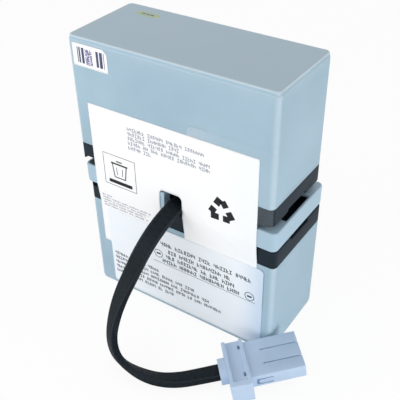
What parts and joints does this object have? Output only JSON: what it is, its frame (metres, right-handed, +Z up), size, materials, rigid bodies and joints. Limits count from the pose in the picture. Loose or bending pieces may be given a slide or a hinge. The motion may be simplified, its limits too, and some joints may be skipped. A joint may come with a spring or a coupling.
{
  "type": "ups battery cartridge",
  "caption": "Replacement battery cartridge: sealed lead-acid batteries stacked lid to lid on a moulded spacer, wired in series to a sleeved cable with a two-pole connector.",
  "frame": {"origin": "centre of the lower battery's base, on the surface that the cartridge stands on", "axes": "+Z up through the stack, +X along the batteries, +Y from the cable side to the back"},
  "size_m": [0.1878, 0.1381, 0.202],
  "materials": {
    "jar_plastic": "light blue-grey moulded ABS, satin",
    "lid_plastic": "black moulded ABS, satin",
    "valve_rubber": "moulded black rubber",
    "positive_paste": "cured oxide paste on a lead grid",
    "negative_lead_paste": "spongy lead on a lead grid",
    "glass_mat": "absorbent glass-fibre mat",
    "lead": "cast lead",
    "tinned_brass": "tinned brass",
    "seal_resin": "potted epoxy resin",
    "spacer_plastic": "light grey moulded plastic, satin",
    "foam": "adhesive foam",
    "wire_red": "red wire insulation",
    "wire_black": "black wire insulation",
    "cable_sleeve": "black woven and coated sleeve",
    "connector_plastic": "light grey moulded nylon",
    "label_paper": "white self-adhesive paper",
    "battery_label_film": "white plastic label",
    "clear_film": "clear adhesive film"
  },
  "bodies": {
    "root": {"barcode_label": "label_paper", "battery_label": "battery_label_film", "cable": "cable_sleeve", "cartridge_label": "label_paper", "clear_film": "clear_film", "connector_boot": "connector_plastic", "connector_collar": "connector_plastic", "connector_contacts": "tinned_brass", "connector_housing": "connector_plastic", "foam_pads": "foam", "link_wire": "wire_red", "lower_cell_straps": "lead", "lower_jar": "jar_plastic", "lower_lid": "lid_plastic", "lower_negative_plates": "negative_lead_paste", "lower_positive_plates": "positive_paste", "lower_receptacle_negative": "tinned_brass", "lower_receptacle_positive": "tinned_brass", "lower_separators": "glass_mat", "lower_terminal_negative": "tinned_brass", "lower_terminal_positive": "tinned_brass", "lower_terminal_seals": "seal_resin", "lower_valve_caps": "valve_rubber", "lower_vent_cover": "lid_plastic", "negative_lead": "wire_black", "positive_lead": "wire_red", "spacer": "spacer_plastic", "upper_cell_straps": "lead", "upper_jar": "jar_plastic", "upper_lid": "lid_plastic", "upper_negative_plates": "negative_lead_paste", "upper_positive_plates": "positive_paste", "upper_receptacle_negative": "tinned_brass", "upper_receptacle_positive": "tinned_brass", "upper_separators": "glass_mat", "upper_terminal_negative": "tinned_brass", "upper_terminal_positive": "tinned_brass", "upper_terminal_seals": "seal_resin", "upper_valve_caps": "valve_rubber", "upper_vent_cover": "lid_plastic"}
  },
  "joints": []
}
